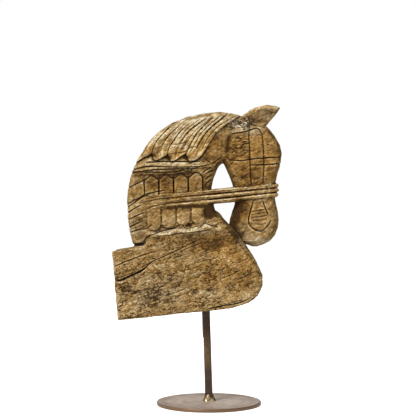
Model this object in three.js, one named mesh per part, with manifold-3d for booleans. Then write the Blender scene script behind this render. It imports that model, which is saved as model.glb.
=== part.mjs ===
import * as THREE from "three";
import { mergeVertices } from "three/addons/utils/BufferGeometryUtils.js";
import Module from "manifold-3d";

// A weathered wooden horse head with its shoulder block, held up by a leaning square bar
// that is welded to a round steel disc. Millimetres, +Z up, and the horse looks along +X.
// The origin is the centre of the disc's underside. Y is the depth through the plank.

// Stand
const discRadius = 75;
const discThickness = 5;
const discEdgeRound = 0.8;
const discSides = 36;
const barHalf = 5.4;
const barCorner = 1.4;
const barFootX = 0.2;
const barTopX = -3.9;
const barStripThickness = 1;
const barStripFrom = 98;
const collarHalf = 7.4;
const collarHeight = 3;
const weldRadius = 9.8;
const weldHeight = 10;
const weldSides = 13;
const gap = 0.3;

// Depth of the relief above the neck's face, and of the cut lines below it
const lockRise = 3.4;
const ledgeRollRise = 1.5;
const strapRise = 1.9;
const plaqueRise = 2.4;
const tabRise = 2.6;
const skirt = 0.4;
const lineDepth = 1.6;
const crackDepth = 4;
const notchDepth = 5;
const notchInset = 3;

// Sections of the neck and head: the outer edge (back, crest, face) as x, z, the inner edge
// (throat, jaw, chin) as x, z, the half thickness, and the rounding of the outer and inner edges.
const headSections = [
  [-99.5, 205, 52, 205, 36, 9, 9],
  [-112.5, 248.5, 19, 263, 36, 9, 9],
  [-115.8, 289, 3.5, 297.5, 36, 9, 10],
  [-111.8, 325.5, 6.5, 325.5, 36, 9, 11],
  [-97, 358.5, 14.5, 343.5, 36, 10, 12],
  [-71.5, 391.5, 18.5, 347, 36, 12, 12],
  [-30, 412.5, 19.5, 347.8, 36, 14, 12],
  [16, 419.5, 20.3, 347.8, 33, 14, 12],
  [53.5, 412.5, 21, 347.6, 31.5, 13, 12],
  [81.5, 400.5, 21.8, 346.8, 31.5, 12, 12],
  [101.6, 372.5, 24, 342, 31.5, 13, 12],
  [103, 349.5, 28.5, 332, 31.5, 14, 12],
  [96.5, 325.5, 34.5, 316.5, 30, 15, 12],
  [94, 300.5, 38.5, 294.5, 27.5, 16, 13],
  [98.8, 277, 33.5, 276.5, 27.5, 17, 16],
  [99, 254, 29.5, 256.5, 27.5, 18, 16],
  [88, 236, 42.5, 237, 25, 18, 14],
  [69, 228, 61.5, 228, 14, 10, 8],
];

// Sections of the shoulder block from its cut back end to the breast: the upper edge as x, z,
// the lower edge as x, z, the half thickness, and the rounding of the upper and lower edges.
const blockHalf = 42.5;
const blockSections = [
  [-136.5, 221, -128.5, 124.8, blockHalf, 4, 3],
  [-108, 226.5, -96, 127.8, blockHalf, 5, 3],
  [-96.5, 232.5, -78.5, 129.8, blockHalf, 6, 3],
  [-82, 244.5, -61, 132.2, blockHalf, 8, 3],
  [-62, 252, -44, 134.2, blockHalf, 9, 3],
  [-34.5, 257, -18, 136.6, blockHalf, 10, 3],
  [-11.5, 262, 4.5, 138.6, blockHalf, 12, 3],
  [1.5, 274, 16, 140, blockHalf, 16, 3],
  [12, 279, 24.5, 141, blockHalf, 17, 4],
  [21, 268, 35, 142.6, blockHalf, 16, 5],
  [42, 244, 56, 149.4, blockHalf, 15, 7],
  [61.5, 217, 68.5, 159, blockHalf, 13, 9],
  [73.6, 193, 75.6, 173, 40, 10, 8],
  [75.7, 185.5, 75.7, 180, 37, 6, 6],
];
const steps = 2;
const cornerPoints = 4;

// Cut lines between the locks of the mane, from the crest down, as x, z
const maneLines = [
  [[-47, 406], [-60.5, 392.5], [-71.5, 380], [-78.5, 367.5], [-80.5, 358]],
  [[-43, 398], [-57, 385], [-68, 368.5]],
  [[-28, 402.5], [-41, 390], [-49.5, 378], [-56.5, 367.5], [-58.5, 356]],
  [[-2.5, 410.5], [-26.5, 393], [-35, 382.5], [-42, 373]],
  [[7.5, 413], [-13.5, 392.5], [-25, 375], [-33, 358]],
  [[26, 416], [-1, 393], [-11, 378.5], [-17.5, 367.5]],
];
const maneLineWidth = 1.5;

// Lower ends of the locks, from the back of the neck to the jaw, then up the parting to the poll
const lockEdge = [
  [-104, 347], [-91.5, 355], [-81, 359], [-80.5, 362], [-78, 352.5], [-75.5, 350.5], [-70, 352],
  [-58.5, 358.5], [-57, 358], [-53.5, 349], [-48.5, 350], [-33, 360], [-32, 359], [-27, 348],
  [-20.5, 350], [-10.5, 357],
];
const parting = [[-10.5, 357], [-0.5, 372], [10, 389], [25, 401], [42.5, 412.5]];

// Bands round the neck: a roll of wood, then the ribbon of the upper strap
const ledgeRoll = [[-90, 343], [-69, 345.5], [-41, 345.5], [-15.5, 345.3], [-4, 347]];
const ledgeRollHeight = 5;
const strap = [[-116, 333.5], [-90.5, 338], [-72, 339.2], [-41, 339.7], [-14, 341], [-1, 343.2]];
const strapHeight = 4.6;

// Pointed plaques below the strap: the first one's middle, and what changes from one to the next.
// Their feet follow the reins, as the first one's height, the step, and the rise across each.
const plaqueCount = 4;
const plaqueHalf = 9.3;
const plaqueFirst = [-81, 328.3];
const plaqueStep = [20.7, 1.3];
const plaqueShoulder = 5.7;
const plaqueFoot = [299.5, 2.1];
const footRise = 1.9;
const edgePlaque = [[-122, 308], [-112, 312.5], [-92.5, 321.3], [-91.5, 302], [-122, 286]];

// Rounded tabs below the reins, set out the same way from the first one's tip
const tabCount = 4;
const tabHalf = 9.2;
const tabFirst = [-77.5, 251];
const tabStep = [20.9, 3.5];
const tabTop = 281;

// Three strands of the reins, as x, z along their middles from the mane round the nose
const reins = [
  [[-97.5, 293.5], [-69.5, 299], [-27, 303], [18.5, 307.5], [58, 311.5], [99.6, 315.5]],
  [[-86, 287], [-62, 292], [-27, 296], [18.5, 300.5], [58, 304.5], [99.8, 309]],
  [[-72, 282.5], [-48, 287], [-12.5, 290.5], [18.5, 293.5], [58, 297.5], [99, 302.5]],
];
const reinHalfHeight = 3.9;
const reinSides = 10;

// Rings of a strand as its share of the length and of the full height, and its half depth at x
const reinRings = [
  [0, 0.4], [0.05, 0.85], [0.15, 1], [0.45, 1], [0.6, 1], [0.88, 1], [0.985, 0.9], [1, 0.5],
];
const reinHalfDepth = [
  [-97.5, 35], [-60, 38.6], [-4, 38], [14, 34], [34, 32], [60, 32.5], [84, 29.5], [100, 22],
];

// Cut lines of the bridle, jaw, eye and muzzle, each with its width
const faceLines = [
  [1.6, [[36, 389], [51.5, 391], [67, 396], [74, 389.5]]],
  [1.5, [[58, 404], [57, 370], [60, 316]]],
  [1.5, [[75, 388], [78, 351], [76.5, 318]]],
  [1.6, [[31, 351.5], [45, 350], [66, 353], [110, 355.5]]],
  [1.6, [[53, 344], [80, 344.3], [110, 346.5]]],
  [1.6, [[-12.5, 357], [3.5, 346], [18.5, 355.5]]],
  [2, [[63, 292], [58.5, 278], [56.5, 265.5], [61, 256], [71, 250.5], [81.5, 256], [87.5, 265]]],
  [1.6, [[76.5, 293], [83.5, 275]]],
];
const neckLines = [
  [1.6, [[-122, 280], [-106.5, 294], [-66, 308]]],
  [1.5, [[-122, 273], [-106.5, 281.5], [-96.5, 287]]],
  [1.5, [[-120, 264], [-92, 276]]],
  [1.5, [[-120, 252.5], [-97, 263]]],
  [1.6, [[-118, 246.5], [-99, 252.5], [-81, 259.5]]],
];
const eyeCentre = [43.5, 366.5];
const eyeRadius = 13.5;
const eyeRise = 1.6;
const eyeBulge = 5;
const browHalf = 31.5;

// Drying cracks in the near face of the block
const cracks = [
  [1.4, [[-142, 197], [-117, 207.5], [-94.5, 216], [-70, 224.5]]],
  [2.2, [[-140, 186], [-127, 181], [-112.5, 186.5], [-94.5, 195], [-82, 203.5]]],
  [1.3, [[-85, 209.5], [-67.5, 215], [-42.5, 226.5], [-22, 235]]],
  [1.6, [[8.5, 146], [22.5, 148.5], [43.5, 152], [58, 158.5]]],
];
const notch = [[-116, 229.5], [-103, 231.5], [-93, 232.5]];
const notchWidth = 3.2;

// Ears: side outline, its hollow, and how far each stands from the middle
const earOutline = [
  [47, 414], [60, 423.5], [72, 428], [84, 430], [97, 427.8], [101.5, 425.5], [96.5, 417.5],
  [81, 400], [75.5, 393], [55.5, 401.5],
];
const earHollow = [
  [53.5, 411], [63.5, 418], [77.5, 422.6], [92, 423.4], [90, 414.5], [80, 404.5], [64, 404],
];
const earMiddle = 19.5;
const earThickness = 15;
const earRound = 3.5;
const hollowDepth = 2.5;
const hollowPoints = 14;

// Half depth of the prisms that cut through the whole plank
const reach = 60;

const wasm = await Module();
wasm.setup();

// A closed geometry as a solid for cutting and joining
function solid(geometry) {
  const bare = geometry.clone();
  bare.deleteAttribute("normal");
  bare.deleteAttribute("uv");
  const merged = mergeVertices(bare, 1e-4);
  return new wasm.Manifold(
    new wasm.Mesh({
      numProp: 3,
      vertProperties: merged.attributes.position.array,
      triVerts: new Uint32Array(merged.index.array),
    }),
  );
}

function geometryOf(body) {
  const mesh = body.getMesh();
  const geometry = new THREE.BufferGeometry();
  geometry.setAttribute("position", new THREE.Float32BufferAttribute(mesh.vertProperties, 3));
  geometry.setIndex(new THREE.Uint32BufferAttribute(mesh.triVerts, 1));
  return geometry;
}

// Skin over a row of equal rings of points, closed by a fan at each end
function loft(rings) {
  const count = rings[0].length;
  const points = rings.flat();
  const faces = [];
  for (let r = 0; r + 1 < rings.length; r++) {
    for (let i = 0; i < count; i++) {
      const a = r * count + i;
      const b = r * count + ((i + 1) % count);
      faces.push(a, b, a + count, b, b + count, a + count);
    }
  }
  const last = (rings.length - 1) * count;
  for (let i = 1; i + 1 < count; i++) {
    faces.push(0, i + 1, i);
    faces.push(last, last + i, last + i + 1);
  }
  const geometry = new THREE.BufferGeometry().setFromPoints(points);
  geometry.setIndex(faces);
  return geometry;
}

// Rows of key numbers, with smooth rows worked out between them
function between(keys, perKey) {
  const rows = [];
  const at = (i) => keys[Math.min(Math.max(i, 0), keys.length - 1)];
  for (let k = 0; k + 1 < keys.length; k++) {
    for (let s = 0; s < perKey; s++) {
      const t = s / perKey;
      rows.push(
        at(k).map((p1, c) => {
          const [p0, p2, p3] = [at(k - 1)[c], at(k + 1)[c], at(k + 2)[c]];
          const slope = (p2 - p0) / 2;
          const bend = p0 - 2.5 * p1 + 2 * p2 - p3 / 2;
          const twist = (3 * (p1 - p2) + p3 - p0) / 2;
          return p1 + t * (slope + t * (bend + t * twist));
        }),
      );
    }
  }
  rows.push(at(keys.length - 1));
  return rows;
}

const power = (value, exponent) => Math.sign(value) * Math.abs(value) ** exponent;

// Rounded rectangle through the depth, between an upper and a lower point of the side outline
function roundedRing(top, foot, half, topRound, footRound, trim = 0) {
  const middle = top.clone().lerp(foot, 0.5);
  const length = Math.max(top.distanceTo(foot) / 2 - trim, 1);
  const up = top.clone().sub(middle).normalize();
  const corners = [[1, -1, topRound], [-1, -1, footRound], [-1, 1, footRound], [1, 1, topRound]];
  return corners.flatMap(([vertical, side, round], corner) => {
    const roundUp = Math.min(round, length * 0.9);
    return Array.from({ length: cornerPoints }, (_, i) => {
      const angle = (Math.PI / 2) * (corner + i / (cornerPoints - 1));
      const rise = vertical * (length - roundUp) + roundUp * Math.cos(angle);
      const depth = side * (half - round) - round * Math.sin(angle);
      return middle.clone().addScaledVector(up, rise).add(new THREE.Vector3(0, depth, 0));
    });
  });
}

function ringsOf(sections, grow, trim, perKey) {
  return between(sections, perKey).map(([tx, tz, bx, bz, half, topRound, footRound]) => {
    const top = new THREE.Vector3(tx, 0, tz);
    const foot = new THREE.Vector3(bx, 0, bz);
    return roundedRing(top, foot, half + grow, topRound, footRound, trim);
  });
}

// Neck and head as one body; grow thickens it, and trim draws its outline in
function headBody(grow, trim = 0, perKey = steps) {
  return solid(loft(ringsOf(headSections, grow, trim, perKey)));
}

// Shoulder block, which fans from the cut back end round to the breast
const blockBody = () => solid(loft(ringsOf(blockSections, 0, 0, steps)));

const flat = (points) => points.map(([x, z]) => new THREE.Vector2(x, z));

// Prism of a side outline between two depths
function prism(shape, from = -reach, to = reach) {
  const geometry = new THREE.ExtrudeGeometry(shape, { depth: to - from, bevelEnabled: false });
  return solid(geometry.rotateX(Math.PI / 2).translate(0, to, 0));
}

const outline = (points) => new THREE.Shape(flat(points));

// Ribbon along a smooth line, narrowing to each end by the given share
function ribbon(points, width, endShare = 0.4) {
  const line = new THREE.SplineCurve(flat(points));
  const count = points.length;
  const left = [];
  const right = [];
  for (let i = 0; i <= count; i++) {
    const place = line.getPointAt(i / count);
    const along = line.getTangentAt(i / count);
    const taper = endShare + (1 - endShare) * Math.sqrt(Math.sin((Math.PI * i) / count));
    const half = (width / 2) * taper;
    left.push(new THREE.Vector2(place.x - along.y * half, place.y + along.x * half));
    right.unshift(new THREE.Vector2(place.x + along.y * half, place.y - along.x * half));
  }
  return new THREE.Shape([...left, ...right]);
}

const joined = (bodies) => bodies.reduce((sum, body) => sum.add(body));

function locks() {
  const beyond = [[45, 440], [-150, 440], [-150, 340]];
  const layer = prism(outline([...lockEdge, ...parting.slice(1), ...beyond]));
  const lines = joined(maneLines.map((line) => prism(ribbon(line, maneLineWidth, 0.6))));
  return headBody(lockRise, -skirt).intersect(layer).subtract(lines);
}

function bands() {
  const roll = prism(ribbon(ledgeRoll, ledgeRollHeight, 0.5));
  const tape = prism(ribbon(strap, strapHeight, 0.8));
  return headBody(ledgeRollRise, -skirt).intersect(roll).add(headBody(strapRise, -skirt).intersect(tape));
}

function plaques() {
  const shapes = [prism(outline(edgePlaque))];
  for (let i = 0; i < plaqueCount; i++) {
    const middle = plaqueFirst[0] + i * plaqueStep[0];
    const peak = plaqueFirst[1] + i * plaqueStep[1];
    const shoulder = peak - plaqueShoulder;
    const foot = plaqueFoot[0] + i * plaqueFoot[1];
    shapes.push(
      prism(
        outline([
          [middle, peak],
          [middle - plaqueHalf, shoulder],
          [middle - plaqueHalf, foot],
          [middle + plaqueHalf, foot + footRise],
          [middle + plaqueHalf, shoulder],
        ]),
      ),
    );
  }
  const [width, line] = neckLines[0];
  const cut = prism(ribbon(line, width));
  return headBody(plaqueRise, -skirt).intersect(joined(shapes)).subtract(cut);
}

function tabs() {
  const shapes = [];
  for (let i = 0; i < tabCount; i++) {
    const middle = tabFirst[0] + i * tabStep[0];
    const tip = tabFirst[1] + i * tabStep[1];
    const shape = new THREE.Shape();
    shape.moveTo(middle - tabHalf, tabTop + i);
    shape.lineTo(middle - tabHalf, tip + tabHalf);
    shape.absarc(middle, tip + tabHalf, tabHalf, Math.PI, 2 * Math.PI);
    shape.lineTo(middle + tabHalf, tabTop + i);
    shape.closePath();
    shapes.push(prism(new THREE.Shape(shape.getPoints(4))));
  }
  return headBody(tabRise, -skirt).intersect(joined(shapes));
}

// Value at x on a row of [x, value] points
function valueAt(row, x) {
  const next = Math.max(row.findIndex((point) => point[0] >= x), 1);
  const [[x0, low], [x1, high]] = [row[next - 1], row[next]];
  return low + ((high - low) * (x - x0)) / (x1 - x0);
}

// One strand as a bar through the whole depth, so that it also spans the open throat
function rein(points) {
  const line = new THREE.SplineCurve(flat(points));
  const rings = reinRings.map(([share, size]) => {
    const place = line.getPointAt(share);
    const along = line.getTangentAt(share);
    const depth = valueAt(reinHalfDepth, place.x);
    return Array.from({ length: reinSides }, (_, i) => {
      const angle = (2 * Math.PI * i) / reinSides;
      const rise = reinHalfHeight * size * power(Math.cos(angle), 0.8);
      return new THREE.Vector3(
        place.x - along.y * rise,
        -depth * power(Math.sin(angle), 0.35),
        place.y + along.x * rise,
      );
    });
  });
  return solid(loft(rings));
}

function ear(side) {
  const shape = outline(earOutline);
  const geometry = new THREE.ExtrudeGeometry(shape, {
    depth: earThickness - 2 * earRound,
    bevelThickness: earRound,
    bevelSize: earRound,
    bevelOffset: -earRound,
    bevelSegments: 1,
  });
  const middle = side * earMiddle + earThickness / 2 - earRound;
  const leaf = solid(geometry.rotateX(Math.PI / 2).translate(0, middle, 0));
  const face = earMiddle + earThickness / 2 - hollowDepth;
  const rim = new THREE.SplineCurve(flat([...earHollow, earHollow[0]]));
  const hollow = new THREE.Shape(rim.getPoints(hollowPoints));
  const cut = side > 0 ? prism(hollow, face, reach) : prism(hollow, -reach, -face);
  return leaf.subtract(cut);
}

function eye(side) {
  const lens = new THREE.SphereGeometry(1, 12, 5);
  lens.scale(eyeRadius, eyeBulge, eyeRadius);
  lens.translate(eyeCentre[0], side * (browHalf + eyeRise - eyeBulge), eyeCentre[1]);
  return solid(lens);
}

// Neck and head with the cut lines of the bridle, jaw, muzzle and neck
function neckAndHead() {
  const lines = [...faceLines, ...neckLines].map(([width, line]) => prism(ribbon(line, width)));
  return headBody(0).subtract(joined(lines)).add(headBody(-lineDepth, lineDepth, 1));
}

// Block with the drying cracks in its near face and the notch behind the neck
function shoulderBlock() {
  const inner = crackDepth - blockHalf;
  const splits = cracks.map(([width, line]) => prism(ribbon(line, width, 0.2), -reach, inner));
  const slit = prism(ribbon(notch, notchWidth, 0.7)).subtract(headBody(-notchDepth, notchInset, 1));
  return blockBody().subtract(joined([...splits, slit]));
}

function horseHead() {
  const carving = [locks(), bands(), plaques(), tabs(), ...reins.map(rein)];
  const pairs = [-1, 1].flatMap((side) => [ear(side), eye(side)]);
  return joined([neckAndHead(), shoulderBlock(), ...carving, ...pairs]);
}

// Height of the block's underside at a place along the horse
const underside = (x) => valueAt(blockSections.map((row) => row.slice(2, 4)), x);

// Square bar with round corners, leaning back, spread into a small collar under the wood
function bar(grow = 0) {
  const top = underside(barTopX) - gap;
  const levels = [
    [discThickness + gap - 3 * grow, 0, 0],
    [barStripFrom - 1.5, 0, 0],
    [barStripFrom, barStripThickness, 0],
    [top - collarHeight, barStripThickness, 0],
    [top, barStripThickness + 1, collarHalf - barHalf],
  ];
  const rings = levels.map(([z, strip, spread], level) => {
    const share = (z - discThickness) / (top - discThickness);
    const x = barFootX + (barTopX - barFootX) * share;
    const half = barHalf + grow + spread;
    return [[1, 1], [-1, 1], [-1, -1], [1, -1]].flatMap(([sx, sy], corner) =>
      [0, 1, 2].map((i) => {
        const angle = (Math.PI / 2) * (corner + i / 2);
        const px = x + sx * (half - barCorner) + barCorner * Math.cos(angle) - (sx < 0 ? strip : 0);
        const py = sy * (half - barCorner) + barCorner * Math.sin(angle);
        const pz = level === levels.length - 1 ? underside(px) - gap : z;
        return new THREE.Vector3(px, py, pz);
      }),
    );
  });
  return solid(loft(rings));
}

// Uneven bead of weld round the bar's foot
function weld() {
  const levels = [[0, 1], [0.12, 0.96], [0.4, 0.78], [0.75, 0.64], [1, 0.55]];
  const rings = levels.map(([share, size]) =>
    Array.from({ length: weldSides }, (_, i) => {
      const angle = (2 * Math.PI * i) / weldSides;
      const ripple = 1 + 0.06 * Math.sin(3 * angle + 1) + 0.04 * Math.sin(7 * angle);
      const radius = weldRadius * size * ripple;
      return new THREE.Vector3(
        barFootX + radius * Math.cos(angle),
        radius * Math.sin(angle),
        discThickness + gap + weldHeight * share,
      );
    }),
  );
  return solid(loft(rings)).subtract(bar(gap));
}

function disc() {
  const inner = discRadius - discEdgeRound;
  const profile = [
    [0, 0],
    [inner, 0],
    [discRadius, discEdgeRound],
    [discRadius, discThickness - discEdgeRound],
    [inner, discThickness],
    [0, discThickness],
  ];
  return new THREE.LatheGeometry(flat(profile), discSides).rotateX(Math.PI / 2);
}

const wood = new THREE.MeshStandardMaterial({ color: 0xa17f4e, roughness: 0.85, metalness: 0 });
const darkSteel = new THREE.MeshStandardMaterial({ color: 0x4e4036, roughness: 0.5, metalness: 0.8 });
const bead = new THREE.MeshStandardMaterial({ color: 0x8c7848, roughness: 0.4, metalness: 0.9 });
const plate = new THREE.MeshStandardMaterial({ color: 0x8f7d6c, roughness: 0.45, metalness: 0.8 });
for (const finish of [wood, darkSteel, bead, plate]) finish.flatShading = true;

const sculpture = new THREE.Group();

function add(name, geometry, finish) {
  const mesh = new THREE.Mesh(geometry, finish);
  mesh.name = name;
  sculpture.add(mesh);
}

add("horse_head", geometryOf(horseHead()), wood);
add("stem", geometryOf(bar()), darkSteel);
add("weld_fillet", geometryOf(weld()), bead);
add("base_disc", disc(), plate);

export default sculpture;
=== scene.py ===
import math
import bpy
import numpy as np
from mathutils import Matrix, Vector


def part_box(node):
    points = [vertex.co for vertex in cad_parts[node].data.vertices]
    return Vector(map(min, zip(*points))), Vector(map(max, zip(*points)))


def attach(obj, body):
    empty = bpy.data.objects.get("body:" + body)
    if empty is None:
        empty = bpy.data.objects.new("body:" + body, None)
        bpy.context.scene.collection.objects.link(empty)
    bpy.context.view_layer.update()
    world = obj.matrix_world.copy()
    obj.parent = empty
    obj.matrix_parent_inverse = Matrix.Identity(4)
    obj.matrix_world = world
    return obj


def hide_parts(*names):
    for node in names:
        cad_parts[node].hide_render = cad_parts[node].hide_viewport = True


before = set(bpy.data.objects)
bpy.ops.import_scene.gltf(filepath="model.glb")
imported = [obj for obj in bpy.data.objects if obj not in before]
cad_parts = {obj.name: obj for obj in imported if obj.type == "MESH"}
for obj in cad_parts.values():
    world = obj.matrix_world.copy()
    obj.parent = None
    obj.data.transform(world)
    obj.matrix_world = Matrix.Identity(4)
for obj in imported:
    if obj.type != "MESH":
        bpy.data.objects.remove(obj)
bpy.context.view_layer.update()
mm = 0.001

# Lines are x, z in millimetres on the carved face
grooves = [
    [(-47, 406), (-60.5, 392.5), (-71.5, 380), (-78.5, 367.5), (-80.5, 358)],
    [(-28, 402.5), (-41, 390), (-49.5, 378), (-56.5, 367.5), (-58.5, 356)],
    [(7.5, 413), (-13.5, 392.5), (-25, 375), (-33, 358)],
]
parting = [(46, 415), (25, 401), (10, 389), (-0.5, 372), (-10.5, 357)]
faceStraps = [
    [(58, 405), (56.5, 386.5), (57.5, 370), (59, 334), (60, 316)],
    [(75, 388), (77, 369.5), (78, 351), (77.5, 334), (76.5, 319)],
]

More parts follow.
